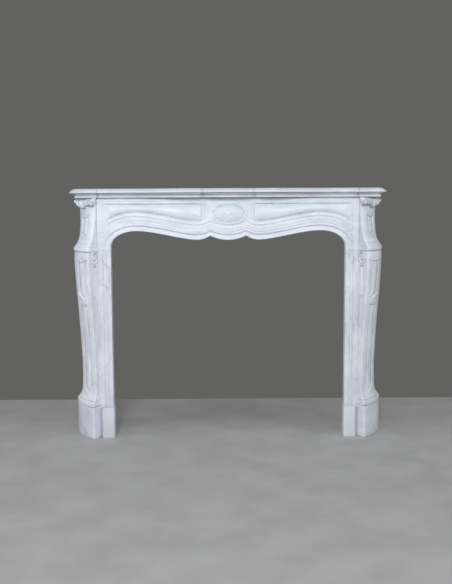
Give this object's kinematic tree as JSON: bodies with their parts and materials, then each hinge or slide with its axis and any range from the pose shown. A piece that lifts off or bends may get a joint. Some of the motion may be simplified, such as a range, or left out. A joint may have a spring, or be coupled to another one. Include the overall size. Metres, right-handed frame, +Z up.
{
  "type": "fireplace mantel",
  "caption": "Carved white marble fireplace mantel with diagonal cabriole legs, an arched frieze with an oval boss and a serpentine moulded shelf.",
  "frame": {"origin": "middle of the mantel's footprint box, at floor level", "axes": "+X to the right along the shelf, +Y back towards the wall, +Z up; the front faces -Y"},
  "size_m": [1.38, 0.348, 1.1],
  "materials": {
    "white_marble": "honed and worn, faint grey veins",
    "grey_marble": "honed and worn, fine grey veins",
    "bluish_marble": "honed, scuffed at the floor",
    "cream_marble": "honed, almost without veins"
  },
  "bodies": {
    "root": {"shelf": "white_marble", "frieze": "white_marble", "upper_block_left": "white_marble", "upper_block_right": "white_marble", "leg_left": "grey_marble", "leg_right": "grey_marble", "foot_plinth_left": "bluish_marble", "foot_plinth_right": "bluish_marble", "slip_left": "grey_marble", "slip_right": "grey_marble", "slip_plinth_left": "cream_marble", "slip_plinth_right": "cream_marble", "side_return_left": "grey_marble", "side_return_right": "grey_marble"}
  },
  "joints": []
}
